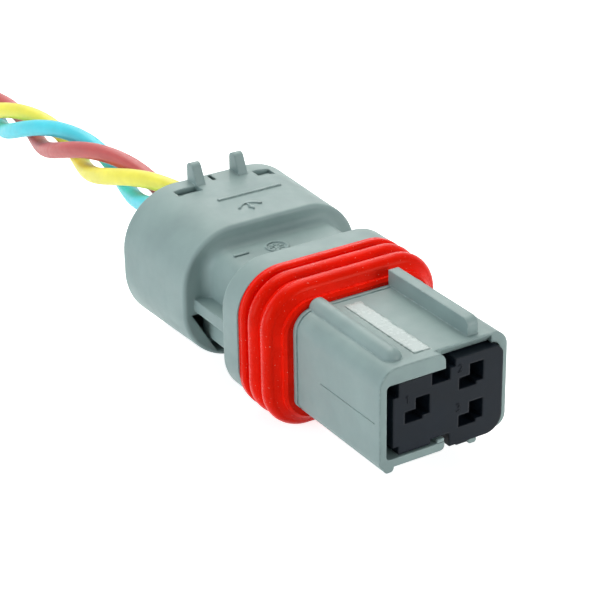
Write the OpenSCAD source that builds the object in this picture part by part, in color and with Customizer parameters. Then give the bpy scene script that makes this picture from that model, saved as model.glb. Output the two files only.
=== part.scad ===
// Sealed three-way wire-to-wire plug with a short twisted pigtail.
// +X is to the right seen from the mating end, +Y runs back along the leads, +Z is up.
// The origin is on the connector's axis, in the plane of the nose's front lip.

/* [Nose] */
// Width of the mating nose
nose_w = 17.9; // [16:0.1:22]
// Height of the mating nose
nose_h = 12.3; // [11.5:0.1:15]
// Length of the nose from the front lip to the ring seal
nose_len = 17.4; // [14:0.1:24]
// How far the right half of the mouth is set back behind the lip
lip_step = 1; // [0.5:0.1:1.5]
// Thickness of the nose's side walls
side_wall = 0.9; // [0.7:0.05:1.2]
// Thickness of the lip over the left half of the mouth
lip_wall = 2; // [1.4:0.1:2.2]
// Thickness of the roof over the right half of the mouth
roof_wall = 1.2; // [0.9:0.05:1.4]
// Thickness of the floor under the left half of the mouth
floor_wall = 1; // [0.7:0.05:1.2]
// Place of the step between the two halves of the mouth
split_x = -0.2; // [-0.6:0.1:0.2]
// Height of the square-sided key rib on top of the nose
key_rib_h = 2; // [1:0.1:2.4]
// Width of the square-sided key rib
key_rib_w = 1.4; // [1:0.1:2]
// Radius of the half-round key rib on top of the nose
round_rib_r = 1.2; // [0.8:0.05:1.4]

/* [Ring seal] */
// Distance from the seal's front face to the crest of its first rib
lip_run = 2.4; // [1.8:0.1:3]
// Height of the seal's ribs above its seat, at the sides
seal_h = 2.8; // [2.4:0.1:3.1]
// How far the seal and the flange's top sit below the middle of the nose
seal_drop = 0.65; // [0.4:0.05:0.8]
// Extra height of the seal above and below
seal_rise = 0.3; // [0.2:0.05:0.5]
// Spacing of the two full ribs
rib_pitch = 2.8; // [2.4:0.05:3]
// Distance from the second rib's crest to the flange, which holds the rear land
rear_run = 2.6; // [2.4:0.1:3]
// Radius of each rib's crest
rib_r = 1.15; // [0.9:0.05:1.2]

/* [Flange, neck and hood] */
// How far the flange stands out past the seal's ribs
flange_lip = 0.1; // [0.05:0.05:0.4]
// Thickness of the flange
flange_t = 3.3; // [2.6:0.1:4]
// Length of the neck between the flange and the hood
neck_len = 8.7; // [7:0.1:14]
// Thickness of the webs beside the neck
web_t = 1.6; // [1:0.1:2.4]
// Height of the hood at its rear edge
hood_h = 18.3; // [17.6:0.1:20]
// Width of the hood at its rear edge
hood_w = 25.8; // [24:0.1:30]
// Length of the hood
hood_len = 15; // [13:0.1:20]
// Corner radius of the hood's section
hood_r = 7.7; // [6:0.1:8.5]
// Draft of the hood over its whole length, each side
hood_draft = 0.4; // [0:0.05:0.5]
// Wall of the hood
hood_wall = 1.5; // [1.2:0.1:2]
// Height of the two hooks on the hood's rear edge
hook_h = 2.5; // [1.5:0.1:3]
// Width of each hook
hook_w = 1.3; // [0.8:0.1:2]

/* [Cavities and terminals] */
// Place of the single left cavity across the nose
left_x = -3.1; // [-3.6:0.1:-2.4]
// Place of the two stacked right cavities across the nose
right_x = 4.2; // [3.8:0.1:4.4]
// Half the distance between the two stacked cavities
stack_z = 2.4; // [2.2:0.05:2.6]
// Width of a terminal's box
box_w = 2.6; // [2.5:0.05:2.7]
// Height of a terminal's box
box_h = 2.9; // [2.6:0.05:3.1]
// Length of a terminal's box
box_len = 7; // [5:0.1:8]
// Thickness of the terminal's strip metal
strip_t = 0.25; // [0.15:0.05:0.3]

/* [Front lock] */
// Depth of the front lock in the nose
lock_len = 6.2; // [4:0.1:8]
// Gap between the left wall of the mouth and the front lock
lock_side_gap = 1; // [0.5:0.1:1.3]
// Width of the square part of each terminal opening
slot_w = 1.9; // [1.5:0.05:2.1]
// Height of the square part of each terminal opening
slot_h = 2.45; // [2:0.05:2.8]

/* [Rear seal and cover] */
// Length of the wire seal block
mat_len = 7.4; // [5:0.1:9]
// Thickness of the rear cover's plate
cover_t = 4; // [3.4:0.1:5]
// How far the cover lies inside the hood's rear edge
cover_inset = 1.6; // [1:0.1:2]

/* [Leads] */
// Outside diameter of each lead's insulation
lead_d = 2.4; // [1.6:0.1:2.6]
// Diameter of each lead's conductor
core_d = 1.5; // [1:0.05:1.6]
// Stripped length at the free end of each lead
strip_len = 6; // [3:0.5:10]
// Radius of the circle on which the twisted leads lie
twist_r = 1.9; // [1.6:0.05:2.1]
// Turn of the twisted leads for each millimetre, in degrees
twist_rate = 8.2; // [6:0.1:9]

/* [Fits] */
// Gap around the front lock and around each terminal
fit_gap = 0.2; // [0.1:0.05:0.3]
// Gap around the rear cover and its snaps
snap_gap = 0.2; // [0.1:0.05:0.3]

/* [Hidden] */
$fn = 48;

grey = "#9DADAB";
seal_red = "#C81408";
lock_black = "#2D343C";
tin = "#B9BCC0";
steel = "#9A9EA3";
copper = "#C07A4A";

// Nose, seal and flange, from the axis outwards
nose_x = nose_w / 2;
nose_z = nose_h / 2;
// Corner radii of the nose: lower left, lower right, upper right, upper left
NOSE_R = [0.9, 1.5, 2, 2.4];
// Corner radius at the foot of the seal's lip
root_r = 2.9;
seat_x = nose_x + 0.2;
seat_z = nose_z + 0.1;
seat_lead = 0.6;
flange_x = seat_x + seal_h + flange_lip;
flange_z = seat_z + seal_h + flange_lip;
seal_z = seat_z + seal_h + seal_rise;

// Stations along the axis
seal_y = nose_len;
flange_y = seal_y + lip_run + rib_pitch + rear_run;
neck_y = flange_y + flange_t;
hood_y = neck_y + neck_len;
hood_end = hood_y + hood_len;
front_wall = 1.8;
chamber_end = hood_y + front_wall;

// Mouth of the nose
mouth_x0 = -nose_x + side_wall;
mouth_x1 = nose_x - side_wall;
mouth_left_z0 = -nose_z + floor_wall;
mouth_left_z1 = nose_z - lip_wall;
mouth_right_z1 = nose_z - roof_wall;
mouth_depth = lock_len + 2 * fit_gap;

// Cavities: centre of each in [x, z]
CAVITIES = [[left_x, 0.3], [right_x, stack_z], [right_x, -stack_z]];
cavity_w = box_w + 2 * fit_gap;
cavity_h = box_h + 2 * fit_gap;

// Terminals
box_y = mouth_depth + 0.5;
neck_strip = 2.4;
crimp_y = box_y + box_len + neck_strip;
crimp_len = 3;
core_y = crimp_y - 0.3;
lead_y = crimp_y + crimp_len + 0.8;
grip_y = lead_y + 0.9;
grip_len = 2.6;

// Seal chamber and rear cover
chamber_wall = 1.5;
chamber_r = 2.2;
chamber_x = nose_x - chamber_wall;
chamber_z = nose_z - chamber_wall + 0.15;
mat_y = chamber_end - 1.6 - mat_len;
boss_y = mat_y + mat_len + 0.15;
cover_end = hood_end - cover_inset;
cover_y = cover_end - cover_t;
hollow_x = hood_w / 2 - hood_wall;
hood_z = hood_h / 2;
hollow_z = hood_z - hood_wall;
hollow_r = hood_r - hood_wall;
window_y = hood_end - 4.1;
window_len = 1.7;
// Windows in the hood's roof, as [first x, last x]
ROOF_WINDOWS = [[-6.6, -3.3], [4.9, 7.4]];
FLOOR_WINDOWS = [[-5.6, -2.4], [2.4, 5.6]];

// Route of the twisted leads: [x, z] of the bundle's centre every route_step from route_y
route_y = hood_end - 2.2;
route_step = 10;
ROUTE = [[1.8, 0], [1.7, -0.1], [1.3, -0.5], [1, -1], [1, -1.6], [1, -2.5], [1, -3.7], [1.2, -5.1],
         [1.6, -6.3], [2.4, -6.9], [3.4, -6.9], [4.2, -6.9], [4.4, -6.9], [3.8, -6.9],
         [2.8, -6.9], [2.2, -6.9]];
route_len = route_step * (len(ROUTE) - 1);
settle = 14;
lead_rings = 22;
lead_sides = 8;
// Where each lead stands on the twist's circle at the start of the route, in degrees
TWIST_START = [170, 50, -70];

// ---- outlines and bodies -------------------------------------------------------------

// Rectangle with a radius of its own at each corner: lower left, lower right, upper right, upper left
module outline(x0, z0, x1, z1, r) {
    corner = is_list(r) ? r : [r, r, r, r];
    place = [[x0, z0], [x1, z0], [x1, z1], [x0, z1]];
    inward = [[1, 1], [-1, 1], [-1, -1], [1, -1]];
    polygon([for (i = [0:3]) each corner[i] > 0
        ? (i % 2 == 0
            ? [place[i] + [0, inward[i].y * corner[i]], place[i] + [inward[i].x * corner[i], 0]]
            : [place[i] + [inward[i].x * corner[i], 0], place[i] + [0, inward[i].y * corner[i]]])
        : [place[i]]]);
    for (i = [0:3])
        if (corner[i] > 0)
            translate(place[i] + corner[i] * inward[i]) circle(corner[i]);
}

// Extrudes an outline drawn in X and Z from y0 to y1
module along(y0, y1) {
    translate([0, y1, 0]) rotate([90, 0, 0]) linear_extrude(y1 - y0) children();
}

// Box from one corner to the opposite one
module block(low, high) {
    translate(low) cube(high - low);
}

// Carries a half profile round a rounded rectangle and fills the middle. The profile's x is the
// distance from the corner's centre and its y is the place along the axis, from y0 to y1.
module carried(half_x, half_z, r, y0, y1) {
    cx = half_x - r;
    cz = half_z - r;
    for (sx = [-1, 1], sz = [-1, 1])
        translate([sx * cx, 0, sz * cz]) rotate([-90, 0, 0]) rotate_extrude() children();
    for (s = [0, 1]) {
        mirror([0, 0, s]) translate([cx, 0, cz]) rotate([0, -90, 0]) linear_extrude(2 * cx) children();
        mirror([s, 0, 0]) translate([cx, 0, -cz]) linear_extrude(2 * cz) children();
    }
    block([-cx, y0, -cz], [cx, y1, cz]);
}

// ---- housing ---------------------------------------------------------------------------

module nose_outline() {
    outline(-nose_x, -nose_z, nose_x, nose_z, NOSE_R);
}

module seat_outline() {
    outline(-seat_x, -seat_z, seat_x, seat_z, [for (r = NOSE_R) r + 0.2]);
}

// Left half of the nose, which ends in the front lip
module lip_outline() {
    outline(-nose_x, -nose_z, split_x, nose_z, [NOSE_R[0], 0.6, 1.2, NOSE_R[3]]);
}

module key_ribs() {
    rib_start = lip_step + 0.3;
    rib_end = seal_y;
    // Half-round rib with a ball end
    translate([-nose_x + 1.95 + round_rib_r, rib_start + round_rib_r, nose_z - 0.1]) {
        rotate([-90, 0, 0]) cylinder(r = round_rib_r, h = rib_end - rib_start - round_rib_r);
        sphere(round_rib_r);
    }
    // Flat polished pad between the ribs
    block([-3.3, 1.7, nose_z - 0.5], [-1.1, rib_end - 1.9, nose_z + 0.08]);
    // Square-sided rib
    translate([4, 0, 0]) rotate([90, 0, 90]) linear_extrude(key_rib_w)
        outline(rib_start + 0.5, nose_z - 0.5, rib_end, nose_z + key_rib_h, [0, 0, 0, 0.9]);
    // Rails under the nose
    along(0, rib_end) outline(-nose_x + 0.6, -nose_z - 0.6, -nose_x + 1.9, -nose_z + 0.5, 0.5);
    along(0.6, rib_end)
        outline(mouth_x1 - 4.5, -nose_z - 0.8, mouth_x1 - 3.4, -nose_z + 0.5, [0.3, 0.3, 0, 0]);
}

module mouth() {
    // Left half, closed below and above
    along(-1, mouth_depth)
        outline(mouth_x0, mouth_left_z0, split_x + 1, mouth_left_z1, [0.5, 0, 0, 0.5]);
    // Right half, open below
    along(-1, mouth_depth)
        outline(split_x, -nose_z + 0.45, mouth_x1, mouth_right_z1, [0, 1.2, 1.3, 0]);
    // Chamfer inside the roof's set-back rim
    translate([split_x, 0, 0]) rotate([90, 0, 90]) linear_extrude(mouth_x1 - split_x - 1.3)
        polygon([[lip_step - 0.5, nose_z - 0.2], [lip_step, nose_z - 0.2],
                 [lip_step + 0.7, mouth_right_z1], [lip_step + 0.7, 0], [lip_step - 0.5, 0]]);
    along(-1, mouth_depth)
        outline(split_x, -nose_z - 0.2, mouth_x1 - 0.9, -nose_z + 2, 0);
}

module cavities() {
    for (c = CAVITIES)
        translate([c.x, 0, c.y])
            block([-cavity_w / 2, mouth_depth - 0.1, -cavity_h / 2],
                  [cavity_w / 2, mat_y, cavity_h / 2]);
    // Chamber of the wire seal, open to the hood
    along(mat_y - 0.6, chamber_end + 0.1)
        outline(-chamber_x, -chamber_z, chamber_x, chamber_z, chamber_r);
}

// Side wall of the hood with its draft and its rounded front and rear edges
module hood_profile() {
    front = 0.5;
    rear = 0.4;
    polygon([[0, hood_y], [hood_r - hood_draft - front, hood_y], [hood_r - hood_draft, hood_y + front],
             [hood_r, hood_end - rear], [hood_r - rear, hood_end], [0, hood_end]]);
    translate([hood_r - hood_draft - front, hood_y + front]) circle(front);
    translate([hood_r - rear, hood_end - rear]) circle(rear);
}

// Height of the hood's roof at a place along the axis
function roof_z(y) = hood_z - hood_draft * (hood_end - y) / hood_len;

module hood_shell() {
    difference() {
        carried(hood_w / 2, hood_z, hood_r, hood_y, hood_end) hood_profile();
        along(chamber_end, hood_end + 1)
            outline(-hollow_x, -hollow_z, hollow_x, hollow_z, hollow_r);
        // Arch in the front wall, under the neck's webs
        along(hood_y - 1, chamber_end + 1)
            polygon([[-hollow_x - 0.1, -1.8], [-hollow_x + 3.3, -hollow_z],
                     [hollow_x - 3.3, -hollow_z], [hollow_x + 0.1, -1.8]]);
        for (w = ROOF_WINDOWS)
            block([w[0], window_y, 0], [w[1], window_y + window_len, hood_z + 1]);
        for (w = FLOOR_WINDOWS)
            block([w[0], window_y, -hood_z - 1], [w[1], window_y + window_len, 0]);
        // Relief beside the left hook
        block([-0.75, hood_end - 2.2, hollow_z - 1], [-0.25, hood_end - 0.6, hood_z + 1]);
    }
}

// Concave fillet from the neck to the hood's front face, above the webs
module neck_fillet() {
    r = 1.3;
    corner = NOSE_R[3];
    intersection() {
        carried(nose_x + r, nose_z + r, corner + r, hood_y - r, hood_y + 0.5)
            difference() {
                translate([0, hood_y - r]) square([corner + r, r + 0.5]);
                translate([corner + r, hood_y - r]) circle(r);
            }
        block([-nose_x - r, hood_y - r, 0.3], [nose_x + r, hood_y + 0.5, nose_z + r]);
    }
}

// Hook that stands on the hood's rear edge, steep behind and sloped in front
module hook(x) {
    foot = 2.7;
    nib = 0.75;
    tip = [hood_end - 0.3 - nib, hood_z + hook_h - nib];
    translate([x, 0, 0]) rotate([90, 0, 90]) linear_extrude(hook_w) {
        polygon([[hood_end - foot, hood_z - 0.6], [hood_end - foot, hood_z], tip + nib * [-0.9, 0.44],
                 tip + [nib, 0], [hood_end - 0.3, hood_z + 0.4], [hood_end - 0.3, hood_z - 0.6]]);
        translate(tip) circle(nib);
    }
}

// Moulding marks on the hood's roof: a raised rule, and a half ring with a pointer
module roof_marks() {
    raise = 0.18;
    rule_y = hood_y + 6.9;
    dial = [-0.7, hood_y + 3];
    block([-3.3, rule_y, roof_z(rule_y) - 0.4], [5.8, rule_y + 0.4, roof_z(rule_y) + raise]);
    translate([dial.x, dial.y, roof_z(dial.y) - 0.4]) {
        intersection() {
            difference() {
                cylinder(r = 1.8, h = 0.4 + raise);
                translate([0, 0, -0.1]) cylinder(r = 1.45, h = 1);
            }
            block([-2, 0.6, -0.1], [2, 2, 1]);
        }
        linear_extrude(0.4 + raise)
            polygon([[-0.12, 1.5], [-0.12, 0.4], [-0.4, 0.4], [0, -0.4], [0.4, 0.4], [0.12, 0.4], [0.12, 1.5]]);
    }
    // Plain ring and bar on the neck
    translate([-1.2, neck_y + 5.3, nose_z - 0.3]) difference() {
        cylinder(r = 1.5, h = 0.45);
        translate([0, 0, -0.1]) cylinder(r = 1.2, h = 1);
    }
    block([-7, neck_y + 5.5, nose_z - 0.9], [-5, neck_y + 6, nose_z + 0.15]);
}

module webs() {
    for (s = [0, 1])
        mirror([s, 0, 0])
            block([nose_x - 0.5, neck_y - 0.5, -web_t + 0.3], [nose_x + 2.1, hood_y + 0.5, 0.3]);
}

module housing() {
    color(grey) {
        difference() {
            union() {
                along(lip_step, neck_y) nose_outline();
                along(0, lip_step + 0.5) lip_outline();
                along(seal_y - seat_lead, flange_y + 0.2) seat_outline();
                along(flange_y, neck_y)
                    outline(-flange_x, -flange_z, flange_x, flange_z - seal_drop, root_r + seal_h);
                along(neck_y - 0.2, chamber_end) nose_outline();
                key_ribs();
                webs();
                difference() {
                    hood_shell();
                    along(hood_y - 1, chamber_end) nose_outline();
                }
                neck_fillet();
                hook(-3.4);
                hook(2.8);
                roof_marks();
            }
            mouth();
            cavities();
        }
        // Key on the floor lip
        block([split_x - 0.9, 0.1, mouth_left_z0 - 0.3], [split_x, lip_step + 0.5, mouth_left_z0 + 0.45]);
    }
}

// ---- ring seal --------------------------------------------------------------------------

module seal_profile() {
    crest = root_r + seal_h;
    body = crest - 0.75;
    rib_y = seal_y + lip_run;
    land_r = 0.55;
    land_y = flange_y - land_r - 0.05;
    // A flat lip round the nose, the slope to the first rib, the body, and a land that bears on the flange
    polygon([[0, seal_y], [root_r + 0.8, seal_y], [root_r + 1.15, seal_y + 0.3], [root_r + 1.1, seal_y + 0.8],
             [crest - rib_r * 0.3, rib_y - rib_r * 0.7], [body, rib_y], [body, land_y], [crest - 0.1, land_y],
             [crest - 0.1, flange_y], [0, flange_y]]);
    for (i = [0:1])
        translate([crest - rib_r, rib_y + i * rib_pitch]) circle(rib_r);
    translate([crest - land_r - 0.05, land_y]) circle(land_r);
}

module ring_seal() {
    color(seal_red)
        difference() {
            translate([0, 0, -seal_drop])
                carried(seat_x + seal_h, seal_z, root_r + seal_h, seal_y, flange_y) seal_profile();
            along(seal_y - 1, flange_y + 1) seat_outline();
        }
}

// ---- front lock ---------------------------------------------------------------------------

module lock_outline() {
    left = mouth_x0 + lock_side_gap;
    bottom = mouth_left_z0 + fit_gap;
    top = mouth_left_z1 - fit_gap;
    step = split_x + 0.5;
    difference() {
        union() {
            outline(left, bottom, step + 1, top, [0.3, 0, 0, 0.3]);
            outline(step, -nose_z + 0.05, mouth_x1 - fit_gap, mouth_right_z1 - fit_gap, [0, 2.2, 1.1, 0]);
            // Shallow keel on the underside
            outline(step + 1.2, -nose_z - 0.1, step + 2.8, -nose_z + 1, [0.1, 0.1, 0, 0]);
        }
        // Key slots
        translate([-1.9, 2.45]) square([2.5, 6]);
        translate([0.3, top - 0.1]) square([1, 2]);
        translate([-2, -8]) square([2.6, 3.65]);
        translate([left - 1, 2.25]) square([1.75, 3]);
        translate([left - 1, -8]) square([1.75, 4.1]);
    }
}

module front_lock() {
    front = 0.2;
    rear = mouth_depth - fit_gap;
    color(lock_black)
        difference() {
            along(front, rear) lock_outline();
            for (c = CAVITIES) translate([c.x, 0, c.y]) {
                block([-slot_w / 2, -1, -slot_h / 2], [slot_w / 2, rear + 1, slot_h / 2]);
                // Probe pocket beside the opening
                block([-slot_w / 2 - 1.45, -1, -slot_h / 2 - 0.4], [0, front + 2, -slot_h / 2 + 1.1]);
            }
        }
}

// ---- wire seal and rear cover ---------------------------------------------------------------

module lead_holes(d, y0, y1) {
    for (c = CAVITIES)
        translate([c.x, y0, c.y]) rotate([-90, 0, 0]) cylinder(d = d, h = y1 - y0);
}

module rear_seal() {
    color(seal_red)
        difference() {
            along(mat_y, mat_y + mat_len)
                outline(-chamber_x, -chamber_z, chamber_x, chamber_z, chamber_r);
            lead_holes(lead_d, mat_y - 1, mat_y + mat_len + 1);
        }
}

module rear_cover() {
    boss_x = chamber_x - snap_gap;
    boss_z = chamber_z - snap_gap;
    plate_x = hollow_x - snap_gap;
    plate_z = hollow_z - snap_gap;
    color(grey)
        difference() {
            union() {
                along(boss_y, cover_y + 1) outline(-boss_x, -boss_z, boss_x, boss_z, chamber_r - snap_gap);
                along(cover_y, cover_end)
                    outline(-plate_x, -plate_z, plate_x, plate_z, hollow_r - snap_gap);
                // Snaps that stand in the hood's windows
                for (w = ROOF_WINDOWS)
                    block([w[0] + snap_gap, window_y + snap_gap, 0],
                          [w[1] - snap_gap, window_y + window_len - snap_gap, hollow_z + hood_wall / 2]);
                for (w = FLOOR_WINDOWS)
                    block([w[0] + snap_gap, window_y + snap_gap, -hollow_z - hood_wall / 2],
                          [w[1] - snap_gap, window_y + window_len - snap_gap, 0]);
            }
            lead_holes(lead_d + 2 * fit_gap, boss_y - 1, cover_end + 1);
        }
}

// ---- terminals --------------------------------------------------------------------------------

// Short tube open at both ends, of rectangular section
module sleeve(half_x, half_z, wall, y0, y1) {
    difference() {
        block([-half_x, y0, -half_z], [half_x, y1, half_z]);
        block([-half_x + wall, y0 - 1, -half_z + wall], [half_x - wall, y1 + 1, half_z - wall]);
    }
}

module barrel(d, y0, y1) {
    translate([0, y0, 0]) rotate([-90, 0, 0])
        difference() {
            cylinder(d = d + 2 * strip_t, h = y1 - y0);
            translate([0, 0, -1]) cylinder(d = d, h = y1 - y0 + 2);
        }
}

module contact(i) {
    c = CAVITIES[i];
    half_x = box_w / 2 - strip_t;
    half_z = box_h / 2 - strip_t;
    box_end = box_y + box_len;
    color(tin)
        translate([c.x, 0, c.y]) {
            sleeve(half_x, half_z, strip_t, box_y + 0.4, box_end - 0.4);
            // Sprung tongues that grip the mating blade
            for (s = [0, 1])
                mirror([0, 0, s])
                    translate([-half_x * 0.6, 0, 0]) rotate([90, 0, 90]) linear_extrude(half_x * 1.2)
                        polygon([[box_end - 1.6, -half_z + 0.1], [box_end - 1, -half_z + 0.1],
                                 [box_y + 2.6, -0.45], [box_y + 1, -0.75], [box_y + 1, -0.9],
                                 [box_y + 2.6, -0.65]]);
            // Strip from the box to the crimps
            difference() {
                block([-0.7, box_end - 1, -half_z], [0.7, grip_y + grip_len, -half_z + strip_t]);
                translate([0, crimp_y, 0]) rotate([-90, 0, 0]) cylinder(d = core_d, h = 30);
                translate([0, lead_y - 0.1, 0]) rotate([-90, 0, 0]) cylinder(d = lead_d, h = 30);
            }
            barrel(core_d, crimp_y, crimp_y + crimp_len);
            barrel(lead_d, grip_y, grip_y + grip_len);
        }
}

module contact_spring(i) {
    c = CAVITIES[i];
    color(steel)
        translate([c.x, 0, c.y])
            sleeve(box_w / 2, box_h / 2, strip_t, box_y, box_y + box_len - 1.2);
}

module crimped_core(i) {
    c = CAVITIES[i];
    color(copper)
        translate([c.x, core_y, c.y]) rotate([-90, 0, 0]) cylinder(d = core_d, h = lead_y - core_y);
}

// ---- leads --------------------------------------------------------------------------------------

function eased(t) = let (u = min(max(t, 0), 1)) u * u * (3 - 2 * u);

function span(a, b, c, d, u) =
    (2 * b + (c - a) * u + (2 * a - 5 * b + 4 * c - d) * u * u + (3 * b - a - 3 * c + d) * u * u * u) / 2;

// Centre of the bundle, a smooth curve through ROUTE, s along from its start
function centre_at(s) =
    let (last = len(ROUTE) - 1, i = min(floor(s / route_step), last - 1), u = s / route_step - i)
    span(ROUTE[max(i - 1, 0)], ROUTE[i], ROUTE[i + 1], ROUTE[min(i + 2, last)], u);

// Centre of lead i at a place along the axis
function lead_at(i, y) =
    let (c = CAVITIES[i], s = max(y - route_y, 0), w = eased(s / settle),
         turn = TWIST_START[i] + twist_rate * s,
         p = c * (1 - w) + w * (centre_at(s) + twist_r * [cos(turn), sin(turn)]))
    [p.x, y, p.y];

function heading(i, y) =
    let (d = lead_at(i, y + 0.2) - lead_at(i, y - 0.2)) d / norm(d);

function lead_ring(i, y) =
    let (t = heading(i, y), side = cross(t, [0, 0, 1]), a = side / norm(side), b = cross(a, t))
    [for (k = [0:lead_sides - 1])
        lead_at(i, y) + lead_d / 2 * (cos(360 * k / lead_sides) * a + sin(360 * k / lead_sides) * b)];

module lead(i, hue) {
    stations = concat([lead_y, mat_y, route_y - 8],
                      [for (k = [0:lead_rings - 1]) route_y + k * route_len / (lead_rings - 1)]);
    last = len(stations) - 1;
    n = lead_sides;
    color(hue)
        polyhedron(
            points = [for (y = stations) each lead_ring(i, y)],
            faces = [
                [for (k = [0:n - 1]) k],
                [for (k = [0:n - 1]) last * n + n - 1 - k],
                for (j = [0:last - 1], k = [0:n - 1]) each
                    let (a = j * n + k, b = j * n + (k + 1) % n)
                    [[a, a + n, b], [b, a + n, b + n]]
            ]);
}

module bare_end(i) {
    y = route_y + route_len;
    t = heading(i, y - 0.3);
    color(copper)
        translate(lead_at(i, y))
            rotate([0, 0, atan2(t.y, t.x)]) rotate([0, 90 - asin(t.z), 0])
                cylinder(d = core_d, h = strip_len);
}

// ---- sub-parts ------------------------------------------------------------------------------------

housing();
ring_seal();
front_lock();
rear_seal();
rear_cover();
contact(0);  // contact_1
contact(1);  // contact_2
contact(2);  // contact_3
contact_spring(0);  // contact_spring_1
contact_spring(1);  // contact_spring_2
contact_spring(2);  // contact_spring_3
crimped_core(0);  // crimped_core_1
crimped_core(1);  // crimped_core_2
crimped_core(2);  // crimped_core_3
lead(0, "#CD645F");  // red_lead
lead(1, "#6ED7E6");  // blue_lead
lead(2, "#F5E65A");  // yellow_lead
bare_end(0);  // bare_end_1
bare_end(1);  // bare_end_2
bare_end(2);  // bare_end_3
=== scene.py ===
"""Sealed three-way plug with a twisted pigtail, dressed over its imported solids.

Metres, in the model's frame: +X right seen from the mating end, +Y back along the leads, +Z up.
Sizes are written in millimetres and multiplied by MM.
"""
import math

import bpy
import numpy as np
from mathutils import Matrix, Vector


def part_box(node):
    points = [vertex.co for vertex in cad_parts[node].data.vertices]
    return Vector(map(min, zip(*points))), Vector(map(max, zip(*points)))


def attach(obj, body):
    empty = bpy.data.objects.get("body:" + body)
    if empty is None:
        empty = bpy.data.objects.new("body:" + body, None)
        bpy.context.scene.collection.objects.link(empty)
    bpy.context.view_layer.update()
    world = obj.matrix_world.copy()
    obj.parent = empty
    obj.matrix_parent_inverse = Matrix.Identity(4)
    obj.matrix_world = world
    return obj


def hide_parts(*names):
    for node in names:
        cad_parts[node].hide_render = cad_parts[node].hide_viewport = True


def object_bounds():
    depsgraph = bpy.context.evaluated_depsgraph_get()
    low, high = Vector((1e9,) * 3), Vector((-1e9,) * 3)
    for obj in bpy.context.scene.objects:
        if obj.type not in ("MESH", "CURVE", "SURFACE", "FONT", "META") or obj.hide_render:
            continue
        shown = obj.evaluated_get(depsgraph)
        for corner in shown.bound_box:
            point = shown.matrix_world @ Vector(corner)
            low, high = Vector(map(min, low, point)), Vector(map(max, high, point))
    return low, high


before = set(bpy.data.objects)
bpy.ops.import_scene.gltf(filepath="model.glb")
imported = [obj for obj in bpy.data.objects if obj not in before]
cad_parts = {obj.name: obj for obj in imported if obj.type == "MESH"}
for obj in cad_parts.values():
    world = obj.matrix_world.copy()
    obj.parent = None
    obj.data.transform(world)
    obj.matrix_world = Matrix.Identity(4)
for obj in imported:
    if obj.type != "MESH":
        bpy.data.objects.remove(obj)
cad_low, cad_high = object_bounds()
MM = 0.001


# ---- Camera -------------------------------------------------------------------------------
# A long lens at table distance, from the front left and above, rolled by almost a degree.

CAMERA_AZIMUTH = math.radians(-31.7)
CAMERA_ELEVATION = math.radians(26.3)
CAMERA_ROLL = math.radians(-0.9)
CAMERA_DISTANCE = 230 * MM
CAMERA_AIM = Vector((-11.8, 11.5, 11.0)) * MM
CAMERA_LENS = 125.4  # millimetres, on a sensor 36 mm wide

towards_camera = Vector((math.sin(CAMERA_AZIMUTH) * math.cos(CAMERA_ELEVATION),
                         -math.cos(CAMERA_AZIMUTH) * math.cos(CAMERA_ELEVATION),
                         math.sin(CAMERA_ELEVATION)))
optics = bpy.data.cameras.new("camera")
optics.lens, optics.sensor_width = CAMERA_LENS, 36
optics.clip_start, optics.clip_end = 0.01, 10
camera = bpy.data.objects.new("camera", optics)
bpy.context.scene.collection.objects.link(camera)
camera.matrix_world = (Matrix.Translation(CAMERA_AIM + towards_camera * CAMERA_DISTANCE)
                       @ (-towards_camera).to_track_quat("-Z", "Y").to_matrix().to_4x4()
                       @ Matrix.Rotation(CAMERA_ROLL, 4, "Z"))
bpy.context.scene.camera = camera


# ---- Leads ----------------------------------------------------------------------------------
# Three automotive wires in extruded insulation 2.4 mm across. Each starts in its crimp, runs
# straight through the rear seal and the rear cover, and is then twisted round the others.

LEAD_R = 1.2 * MM
LEAD_START = 20.3 * MM
ROUTE_START = 50 * MM
ROUTE_STEP = 10 * MM
ROUTE = np.array([(1.8, 0), (1.7, -0.1), (1.3, -0.5), (1, -1), (1, -1.6), (1, -2.5), (1, -3.7), (1.2, -5.1),
                  (1.6, -6.3), (2.4, -6.9), (3.4, -6.9), (4.2, -6.9), (4.4, -6.9), (3.8, -6.9),
                  (2.8, -6.9), (2.2, -6.9)]) * MM
SETTLE = 14 * MM
TWIST_R = 1.9 * MM
TWIST_RATE = math.radians(8.2) / MM
LEADS = {  # cavity's centre in millimetres, angle on the twist at the route's start, colour
    "red": ((-3.1, 0.3), 170, "#C85A5A"),
    "blue": ((4.2, 2.4), 50, "#52DEF0"),
    "yellow": ((4.2, -2.4), -70, "#FFF45C"),
}


def bundle_centre(s):
    """Centre of the twist s metres along the route: between two of its points, the cubic that
    passes through both and leaves each in the direction from its neighbour before to the one after."""
    i = np.minimum((s / ROUTE_STEP).astype(int), len(ROUTE) - 2)
    u = (s / ROUTE_STEP - i)[:, None]
    a, b, c, d = (ROUTE[np.clip(i + k, 0, len(ROUTE) - 1)] for k in (-1, 0, 1, 2))
    return (2 * b + (c - a) * u + (2 * a - 5 * b + 4 * c - d) * u**2 + (3 * b - a - 3 * c + d) * u**3) / 2


def lead_path(cavity, start_angle):
    """Centre line of a lead: on its cavity's axis at first, then eased over SETTLE onto a circle
    that turns about the bundle's centre."""
    y = np.concatenate([np.linspace(LEAD_START, ROUTE_START, 8)[:-1],
                        np.linspace(ROUTE_START, ROUTE_START + ROUTE_STEP * (len(ROUTE) - 1), 150)])
    s = np.maximum(y - ROUTE_START, 0)
    u = np.minimum(s / SETTLE, 1)
    ease = (u * u * (3 - 2 * u))[:, None]
    turn = math.radians(start_angle) + TWIST_RATE * s
    twisted = bundle_centre(s) + TWIST_R * np.column_stack([np.cos(turn), np.sin(turn)])
    x, z = ((1 - ease) * np.array(cavity) * MM + ease * twisted).T
    return np.column_stack([x, y, z])


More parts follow.
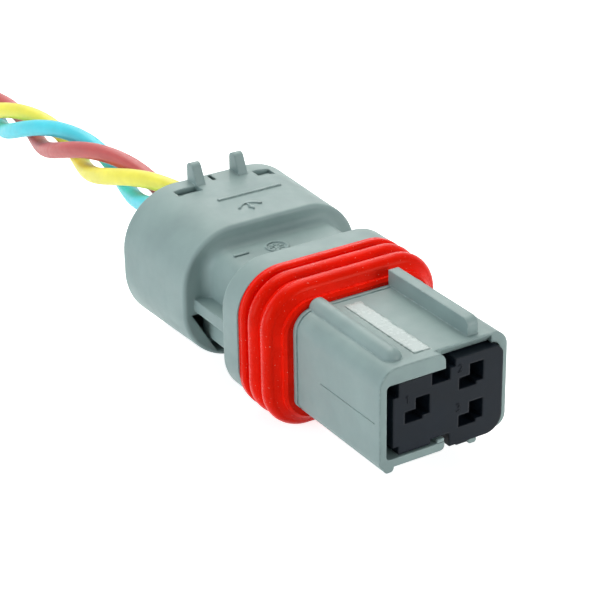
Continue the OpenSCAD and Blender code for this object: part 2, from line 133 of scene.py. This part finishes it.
def circle(radius, sides):
    """Points of a round section: radius times the cosine and sine of even steps of angle."""
    angle = math.tau * np.arange(sides) / sides
    return radius * np.column_stack([np.cos(angle), np.sin(angle)])


def sweep(path, section, up=(0, 0, 1)):
    """Closed skin of a section carried along a path: point (i, j) is path point i plus the
    section's point j, laid along the path's side and top directions. A flat face shuts each end."""
    tangent = np.gradient(path, axis=0)
    side = np.cross(tangent, up)
    side /= np.linalg.norm(side, axis=1)[:, None]
    top = np.cross(side, tangent)
    top /= np.linalg.norm(top, axis=1)[:, None]
    points = path[:, None] + section[:, :1] * side[:, None] + section[:, 1:] * top[:, None]
    rows, columns = points.shape[:2]
    start = (np.arange(rows - 1)[:, None] * columns + np.arange(columns)).ravel()
    beside = (np.arange(rows - 1)[:, None] * columns + (np.arange(columns) + 1) % columns).ravel()
    quads = np.column_stack([start, start + columns, beside + columns, beside])
    ends = np.array([np.arange(columns), np.arange(rows * columns - 1, (rows - 1) * columns - 1, -1)])
    return points.reshape(-1, 3), quads, ends


def mesh_object(name, skins, smooth=True):
    """One object from a list of skins, each its points and arrays of its faces."""
    faces, first = [], 0
    for points, *groups in skins:
        for group in groups:
            faces += (group + first).tolist()
        first += len(points)
    mesh = bpy.data.meshes.new(name)
    mesh.from_pydata(np.concatenate([skin[0] for skin in skins]).tolist(), [], faces)
    mesh.update()
    mesh.shade_smooth() if smooth else mesh.shade_flat()
    piece = bpy.data.objects.new(name, mesh)
    bpy.context.scene.collection.objects.link(piece)
    return piece


def linear(hex_colour):
    """An sRGB hex colour as linear RGBA."""
    channels = np.array([int(hex_colour[i:i + 2], 16) / 255 for i in (1, 3, 5)])
    values = np.where(channels <= 0.04045, channels / 12.92, ((channels + 0.055) / 1.055) ** 2.4)
    return (*values.tolist(), 1)


def add_node(tree, kind, inputs=(), output=0, **settings):
    """Add a shader node, set its properties, fill or link its inputs, and return one of its outputs."""
    made = tree.nodes.new("ShaderNode" + kind)
    for name, value in settings.items():
        setattr(made, name, value)
    for socket, value in dict(inputs).items():
        if isinstance(value, bpy.types.NodeSocket):
            tree.links.new(value, made.inputs[socket])
        else:
            made.inputs[socket].default_value = value
    return made.outputs[output]


def new_material(name):
    """An empty material: itself, its tree, its shader's inputs, and the place on the object in metres."""
    material = bpy.data.materials.new(name)
    material.use_nodes = True
    tree = material.node_tree
    place = add_node(tree, "TexCoord", output="Object")
    return material, tree, tree.nodes["Principled BSDF"].inputs, place


def darker(colour, share):
    """A linear colour with each channel times share."""
    return (*(share * c for c in colour[:3]), 1)


def extruded_polyethylene(name, hex_colour):
    """Cross-linked polyethylene, extruded: a soft gloss with long faint streaks from the die,
    a slightly cloudy colour, and dull scuffs where the leads rub each other."""
    material, tree, shader, place = new_material(name)
    colour = linear(hex_colour)
    straight = add_node(tree, "Attribute", output="Vector", attribute_name="straight")
    stretched = add_node(tree, "Mapping", {"Vector": straight, "Scale": (0.04, 1, 1)})
    # Die streaks are really about 0.1 mm wide, and are drawn at 0.4 mm so that they show
    streak = add_node(tree, "TexNoise", {"Vector": stretched, "Scale": 1 / (0.4 * MM), "Detail": 2.0})
    cloud = add_node(tree, "TexNoise", {"Vector": place, "Scale": 1 / (3.5 * MM), "Detail": 4.0})
    scuff = add_node(tree, "TexNoise", {"Vector": place, "Scale": 1 / (0.7 * MM), "Detail": 4.0})
    shade = add_node(tree, "MapRange", {"Value": cloud, "From Min": 0.35, "From Max": 0.7})
    tree.links.new(add_node(tree, "Mix", {"Factor": shade, "A": darker(colour, 0.86), "B": colour},
                            output="Result", data_type="RGBA"), shader["Base Color"])
    tree.links.new(add_node(tree, "MapRange", {"Value": scuff, "From Min": 0.3, "From Max": 0.7, "To Min": 0.32,
                                               "To Max": 0.5}), shader["Roughness"])
    tree.links.new(add_node(tree, "Bump", {"Height": streak, "Distance": 0.03 * MM}), shader["Normal"])
    shader["Subsurface Weight"].default_value = 0.08
    shader["Subsurface Radius"].default_value = (0.001, 0.0006, 0.0004)
    return material


lead_paths = {hue: lead_path(cavity, start_angle) for hue, (cavity, start_angle, _) in LEADS.items()}
for hue, path in lead_paths.items():
    section = circle(LEAD_R, 28)
    lead = mesh_object(hue + "_insulation", [sweep(path, section)])
    # Place on the lead as if it lay straight: distance along it, and the point of its section
    travelled = np.concatenate([[0], np.cumsum(np.linalg.norm(np.diff(path, axis=0), axis=1))])
    straight = np.column_stack([np.repeat(travelled, len(section)), np.tile(section, (len(path), 1))])
    lead.data.attributes.new("straight", "FLOAT_VECTOR", "POINT").data.foreach_set("vector", straight.ravel())
    lead.data.materials.append(extruded_polyethylene("extruded_%s_polyethylene" % hue, LEADS[hue][2]))
    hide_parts(hue + "_lead")
    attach(lead, "connector")


# ---- Copper cores ------------------------------------------------------------------------------
# Nineteen bare copper strands in each lead. They show at the stripped end, where they start to
# open, and in the barrel of each crimp.

CORE_R = 0.75 * MM
STRIP_LEN = 6 * MM
STRAND_R = CORE_R / 5
STRAND_LAY = 2 * MM / 0.5  # metres along for each radian that the strands turn


def strands(name, start, direction, length, splay):
    """Strands round a straight line: strand k stands at its own radius and angle, turns with the
    lay, and moves outwards with the square of the distance along, by splay times its radius."""
    direction = np.asarray(direction) / np.linalg.norm(direction)
    across = np.cross(direction, (0, 0, 1))
    across /= np.linalg.norm(across)
    upward = np.cross(across, direction)
    reach = STRAND_R * np.repeat([0, 2, 3.9], [1, 6, 12])
    angle = np.concatenate([[0], math.tau * np.arange(6) / 6, math.tau * (np.arange(12) + 0.5) / 12])
    skins = []
    for k, (radius, turn) in enumerate(zip(reach, angle)):
        along = np.linspace(0, length * (1 - 0.0125 * (k * 7 % 5)), 9)[:, None]
        out = radius * (1 + splay * (along / length) ** 2)
        turned = turn + along / STRAND_LAY
        line = start + along * direction + out * np.cos(turned) * across + out * np.sin(turned) * upward
        skins.append(sweep(line, circle(0.98 * STRAND_R, 8)))
    return mesh_object(name, skins)


def worn_metal(name, hex_colour, rough, brush_mm):
    """Bare metal: bright where it is rubbed, with duller patches, and fine marks of its making."""
    material, tree, shader, place = new_material(name)
    colour = linear(hex_colour)
    tarnish = add_node(tree, "TexNoise", {"Vector": place, "Scale": 1 / (1.5 * MM), "Detail": 5.0})
    polish = add_node(tree, "TexNoise", {"Vector": place, "Scale": 1 / (0.4 * MM), "Detail": 4.0})
    marks = add_node(tree, "TexNoise", {"Vector": place, "Scale": 1 / (brush_mm * MM), "Detail": 2.0})
    dull = add_node(tree, "MapRange", {"Value": tarnish, "From Min": 0.4, "From Max": 0.7})
    tree.links.new(add_node(tree, "Mix", {"Factor": dull, "A": colour, "B": darker(colour, 0.7)},
                            output="Result", data_type="RGBA"), shader["Base Color"])
    tree.links.new(add_node(tree, "MapRange", {"Value": polish, "From Min": 0.3, "From Max": 0.7,
                                               "To Min": rough - 0.08, "To Max": rough + 0.1}),
                   shader["Roughness"])
    tree.links.new(add_node(tree, "Bump", {"Height": marks, "Distance": 0.004 * MM}), shader["Normal"])
    shader["Metallic"].default_value = 1
    return material


drawn_copper = worn_metal("drawn_copper", "#C7805A", 0.35, 0.15)
for number, (hue, path) in enumerate(lead_paths.items(), 1):
    bare = strands(hue + "_strands", path[-1], path[-1] - path[-3], STRIP_LEN, 0.02)
    core_low, core_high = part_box("crimped_core_%d" % number)
    core = strands(hue + "_crimped_strands", np.array([path[0][0], core_low[1], path[0][2]]), (0, 1, 0),
                   core_high[1] - core_low[1], 0)
    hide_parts("bare_end_%d" % number)
    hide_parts("crimped_core_%d" % number)
    for piece in (bare, core):
        piece.data.materials.append(drawn_copper)
        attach(piece, "connector")


# ---- Housing and rear cover -----------------------------------------------------------------------
# Glass-filled polybutylene terephthalate, injection moulded in grey: nose, flange, neck and hood in
# one piece, and behind it the cover that holds the rear seal. The mould was spark eroded, apart from
# a polished pad on the nose's roof, painted paler as a painted reflection, and left a thin parting
# line on the nose's left wall.

PAD_LOW, PAD_HIGH = np.array((-3.4, 1.6, 5.4)) * MM, np.array((-1.0, 15.8, 6.9)) * MM
NOSE_HALF = 8.95 * MM


def moulded_pbt(name, hex_colour, hex_dark, rough, edge_paling, specular, pad=None):
    """Spark-eroded polybutylene terephthalate: an even fine grain, a slightly cloudy colour from the
    glass fibres, and edges painted paler in patches. pad is the box of a polished, scuffed patch,
    whose colour is painted paler as a painted reflection."""
    material, tree, shader, place = new_material(name)
    colour = linear(hex_colour)
    cloud = add_node(tree, "TexNoise", {"Vector": place, "Scale": 1 / (6 * MM), "Detail": 4.0})
    # The eroded grain is really 0.03 mm across, and is drawn at 0.12 mm so that it shows
    grain = add_node(tree, "TexNoise", {"Vector": place, "Scale": 1 / (0.12 * MM), "Detail": 2.0})
    patch = add_node(tree, "TexNoise", {"Vector": place, "Scale": 1 / (1.6 * MM), "Detail": 5.0})
    edge_noise = add_node(tree, "TexNoise", {"Vector": place, "Scale": 1 / (0.9 * MM), "Detail": 5.0})
    shade = add_node(tree, "MapRange", {"Value": cloud, "From Min": 0.35, "From Max": 0.7})
    base = add_node(tree, "Mix", {"Factor": shade, "A": linear(hex_dark), "B": colour}, output="Result",
                    data_type="RGBA")
    roughness = add_node(tree, "MapRange", {"Value": patch, "From Min": 0.3, "From Max": 0.7,
                                            "To Min": rough - 0.06, "To Max": rough + 0.07})
    # An edge is where the rounded normal leaves the flat one
    rounded = add_node(tree, "Bevel", {"Radius": 0.35 * MM}, samples=6)
    flat = add_node(tree, "NewGeometry", output="Normal")
    agreement = add_node(tree, "VectorMath", {0: rounded, 1: flat}, "Value", operation="DOT_PRODUCT")
    edge = add_node(tree, "MapRange", {"Value": agreement, "From Min": 0.97, "From Max": 0.75})
    # Edges, outer and inner alike, are painted paler in noisy patches
    edge_patches = add_node(tree, "MapRange", {"Value": edge_noise, "From Min": 0.4, "From Max": 0.65, "To Min": 0.1,
                                         "To Max": edge_paling})
    paler = add_node(tree, "Math", {0: edge, 1: edge_patches}, operation="MULTIPLY")
    pale = (*(min(1, 1.5 * c + 0.05) for c in colour[:3]), 1)
    base = add_node(tree, "Mix", {"Factor": paler, "A": base, "B": pale}, output="Result", data_type="RGBA")
    if pad:
        centre, half = (pad[0] + pad[1]) / 2, (pad[1] - pad[0]) / 2
        offset = add_node(tree, "VectorMath", {0: place, 1: centre}, operation="SUBTRACT")
        offset = add_node(tree, "VectorMath", {0: offset}, operation="ABSOLUTE")
        inset = add_node(tree, "VectorMath", {0: half, 1: offset}, operation="SUBTRACT")
        x, y, z = (add_node(tree, "SeparateXYZ", {0: inset}, axis) for axis in "XYZ")
        nearest = add_node(tree, "Math", {0: x, 1: y}, operation="MINIMUM")
        nearest = add_node(tree, "Math", {0: nearest, 1: z}, operation="MINIMUM")
        # Scuffs eat into the pad's edges and leave islands of the grain inside it
        scuff = add_node(tree, "TexNoise", {"Vector": place, "Scale": 1 / (0.5 * MM), "Detail": 5.0})
        bite = add_node(tree, "MapRange", {"Value": scuff, "From Min": 0.34, "From Max": 0.54,
                                           "To Min": -0.45 * MM, "To Max": 0})
        reach = add_node(tree, "Math", {0: nearest, 1: bite}, operation="ADD")
        inside = add_node(tree, "MapRange", {"Value": reach, "From Min": -0.1 * MM, "From Max": 0.05 * MM})
        bright = add_node(tree, "MapRange", {"Value": scuff, "From Min": 0.45, "From Max": 0.6, "To Min": 0.2,
                                             "To Max": 0.3})
        roughness = add_node(tree, "Mix", {"Factor": inside, 2: roughness, 3: bright})
        # The pad is also painted paler than the grey, a painted reflection of the bright room in its polish
        painted_reflection_share = add_node(tree, "Math", {0: inside, 1: 0.55}, operation="MULTIPLY")
        base = add_node(tree, "Mix", {"Factor": painted_reflection_share, "A": base, "B": linear("#CDD7D4")},
                        output="Result", data_type="RGBA")
    tree.links.new(base, shader["Base Color"])
    tree.links.new(roughness, shader["Roughness"])
    tree.links.new(add_node(tree, "Bump", {"Height": grain, "Distance": 0.012 * MM, "Normal": rounded}),
                   shader["Normal"])
    shader["Specular IOR Level"].default_value = specular
    return material


grey_pbt = moulded_pbt("grey_moulded_pbt", "#92A6A4", "#869998", 0.46, 0.8, 0.35, (PAD_LOW, PAD_HIGH))
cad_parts["housing"].material_slots[0].material = grey_pbt
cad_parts["rear_cover"].material_slots[0].material = grey_pbt

seam = np.column_stack([np.full(20, -NOSE_HALF), np.linspace(1, 12, 20) * MM, np.full(20, -0.6 * MM)])
parting_line = mesh_object("parting_line", [sweep(seam, circle(0.05 * MM, 8))])

# Ticks of the mould's plain date dial, raised inside the ring on the neck
DIAL_CENTRE = np.array((-1.2, 33.8, 6.15)) * MM
dial_angles = math.tau * np.arange(8) / 8
ticks = []
for angle in dial_angles:
    outwards = np.array([math.cos(angle), math.sin(angle), 0])
    line = DIAL_CENTRE + np.linspace(0.35, 0.95, 4)[:, None] * MM * outwards
    ticks.append(sweep(line, circle(0.09 * MM, 8)))
dial_ticks = mesh_object("dial_ticks", ticks)
for piece in (parting_line, dial_ticks):
    piece.data.materials.append(grey_pbt)
    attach(piece, "connector")


# ---- Ring seal and rear seal -------------------------------------------------------------------------
# Oiled liquid silicone, moulded in red. The ring seal is stretched over the nose against the flange,
# and the rear seal grips the three leads inside the hood.

red_silicone, tree, shader, place = new_material("oiled_red_silicone")
# Silicone is soft to the eye: saturated, with a faint warm gloss, and it picks up dust
silicone_red = linear("#FC1B06")
cloud = add_node(tree, "TexNoise", {"Vector": place, "Scale": 1 / (5 * MM), "Detail": 3.0})
dust = add_node(tree, "TexNoise", {"Vector": place, "Scale": 1 / (0.22 * MM), "Detail": 2.0})
smear = add_node(tree, "TexNoise", {"Vector": place, "Scale": 1 / (1.2 * MM), "Detail": 4.0})
ripple = add_node(tree, "TexNoise", {"Vector": place, "Scale": 1 / (0.6 * MM), "Detail": 3.0})
shade = add_node(tree, "MapRange", {"Value": cloud, "From Min": 0.35, "From Max": 0.7})
speck = add_node(tree, "MapRange", {"Value": dust, "From Min": 0.7, "From Max": 0.76, "To Max": 0.6})
red = add_node(tree, "Mix", {"Factor": shade, "A": darker(silicone_red, 0.8), "B": silicone_red},
               output="Result", data_type="RGBA")
tree.links.new(add_node(tree, "Mix", {"Factor": speck, "A": red, "B": linear("#F2BCAE")}, output="Result",
                        data_type="RGBA"), shader["Base Color"])
tree.links.new(add_node(tree, "MapRange", {"Value": smear, "From Min": 0.3, "From Max": 0.7, "To Min": 0.22,
                                           "To Max": 0.36}), shader["Roughness"])
tree.links.new(add_node(tree, "Bump", {"Height": ripple, "Distance": 0.02 * MM}), shader["Normal"])
shader["Specular IOR Level"].default_value = 0.16
shader["Specular Tint"].default_value = (1, 0.3, 0.2, 1)
for node in ("ring_seal", "rear_seal"):
    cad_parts[node].material_slots[0].material = red_silicone


# ---- Front lock ------------------------------------------------------------------------------------
# Black polybutylene terephthalate, a slide that pushes into the mouth and locks the terminals. Its
# face carries a plain number beside each cavity, raised by a tenth of a millimetre.

LOCK_FACE_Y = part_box("front_lock")[0][1]
NUMERAL_HEIGHT = 0.9 * MM
NUMERALS = {  # strokes in a box one unit high, across and up
    1: [[(-0.15, 0.75), (0.1, 1), (0.1, 0)]],
    2: [[(-0.25, 0.8), (-0.1, 1), (0.15, 1), (0.28, 0.78), (0.2, 0.5), (-0.28, 0), (0.3, 0)]],
    3: [[(-0.25, 0.95), (0.1, 1), (0.26, 0.78), (0.1, 0.53), (-0.05, 0.52)],
        [(0.1, 0.53), (0.28, 0.27), (0.1, 0), (-0.27, 0.05)]],
}
NUMERAL_PLACES = {1: (-5.2, 1.2), 2: (1.9, 3.0), 3: (1.7, -1.9)}  # millimetres, beside each cavity

black_pbt = moulded_pbt("black_moulded_pbt", "#151D26", "#10171F", 0.42, 0.25, 0.14)
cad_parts["front_lock"].material_slots[0].material = black_pbt
for number, place_mm in NUMERAL_PLACES.items():
    skins = []
    for stroke in NUMERALS[number]:
        corners = np.array(stroke) * NUMERAL_HEIGHT + np.array(place_mm) * MM
        share = np.linspace(0, len(corners) - 1, 4 * (len(corners) - 1) + 1)
        x, z = (np.interp(share, np.arange(len(corners)), corners[:, axis]) for axis in (0, 1))
        line = np.column_stack([x, np.full(len(x), LOCK_FACE_Y), z])
        skins.append(sweep(line, circle(0.08 * MM, 8), up=(0, -1, 0)))
    numeral = mesh_object("cavity_number_%d" % number, skins)
    numeral.data.materials.append(black_pbt)
    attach(numeral, "front_lock")


# ---- Terminals ------------------------------------------------------------------------------------------
# Each contact is stamped and folded from tinned bronze strip and crimped on its core. A separate
# leaf spring of stainless steel, blanked from rolled strip, is clipped round its box.

tinned_strip = worn_metal("tinned_bronze_strip", "#C4C6C8", 0.32, 0.15)
rolled_steel = worn_metal("rolled_stainless_steel", "#A7ABAF", 0.28, 0.1)
for number in range(1, 4):
    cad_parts["contact_%d" % number].material_slots[0].material = tinned_strip
    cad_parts["contact_spring_%d" % number].material_slots[0].material = rolled_steel


# ---- Studio ---------------------------------------------------------------------------------------------
# A white table and a white room. The main light is a wide disc above and behind, with weaker
# ones to the sides and front.

FLOOR_HALF = 3.0
FLOOR_LIFT = 0.78  # glow of the floor where it is seen, which leaves it white with a pale shadow
LAMPS = {  # place in metres, disc's diameter in metres, watts, colour
    "key": ((0.10, 0.26, 0.52), 0.5, 2.7, (1, 1, 0.94)),
    "front_fill": ((-0.3, -0.5, 0.3), 0.5, 0.2, (1, 1, 1)),
    "left_fill": ((-0.6, 0.08, 0.17), 0.4, 1.8, (0.9, 0.97, 1)),
    "rear_sheen": ((0.36, 0.58, 0.33), 0.35, 0.7, (1, 1, 1)),
    "right_fill": ((0.3, -0.55, 0.12), 0.3, 1.7, (1, 1, 0.98)),
}

corners = np.array([(-1, -1), (1, -1), (1, 1), (-1, 1)]) * FLOOR_HALF
floor = mesh_object("floor", [(np.column_stack([corners, np.full(4, cad_low[2])]), np.array([[0, 1, 2, 3]]))],
                    smooth=False)
white_table, tree, shader, place = new_material("white_table")


def seen(tree):
    """One for a ray from the camera, or one that glossy or clear surfaces send, and nothing for light."""
    camera_ray, glossy_ray, clear_ray = (add_node(tree, "LightPath", output="Is %s Ray" % kind)
                                         for kind in ("Camera", "Glossy", "Transmission"))
    direct = add_node(tree, "Math", {0: camera_ray, 1: glossy_ray}, operation="MAXIMUM")
    return add_node(tree, "Math", {0: direct, 1: clear_ray}, operation="MAXIMUM")


shader["Base Color"].default_value = linear("#F3F3F3")
shader["Roughness"].default_value = 0.9
shader["Emission Color"].default_value = linear("#FFFFFF")
tree.links.new(add_node(tree, "Math", {0: seen(tree), 1: FLOOR_LIFT}, operation="MULTIPLY"),
               shader["Emission Strength"])
floor.data.materials.append(white_table)

for name, (place, diameter, watts, tint) in LAMPS.items():
    lamp = bpy.data.lights.new(name, "AREA")
    lamp.shape, lamp.size, lamp.energy, lamp.color = "DISK", diameter, watts, tint
    light = bpy.data.objects.new(name, lamp)
    light.location = place
    light.rotation_euler = (Vector((0, 0.03, 0)) - Vector(place)).to_track_quat("-Z", "Y").to_euler()
    bpy.context.scene.collection.objects.link(light)

room = bpy.data.worlds.new("white_room")
room.use_nodes = True
bpy.context.scene.world = room
tree = room.node_tree
soft = add_node(tree, "Background", {"Color": linear("#E2F3FF"), "Strength": 0.17})
white = add_node(tree, "Background", {"Color": linear("#FFFFFF"), "Strength": 1.0})
tree.links.new(add_node(tree, "MixShader", {0: seen(tree), 1: soft, 2: white}),
               tree.nodes["World Output"].inputs["Surface"])
bpy.context.scene.view_settings.view_transform = "Standard"
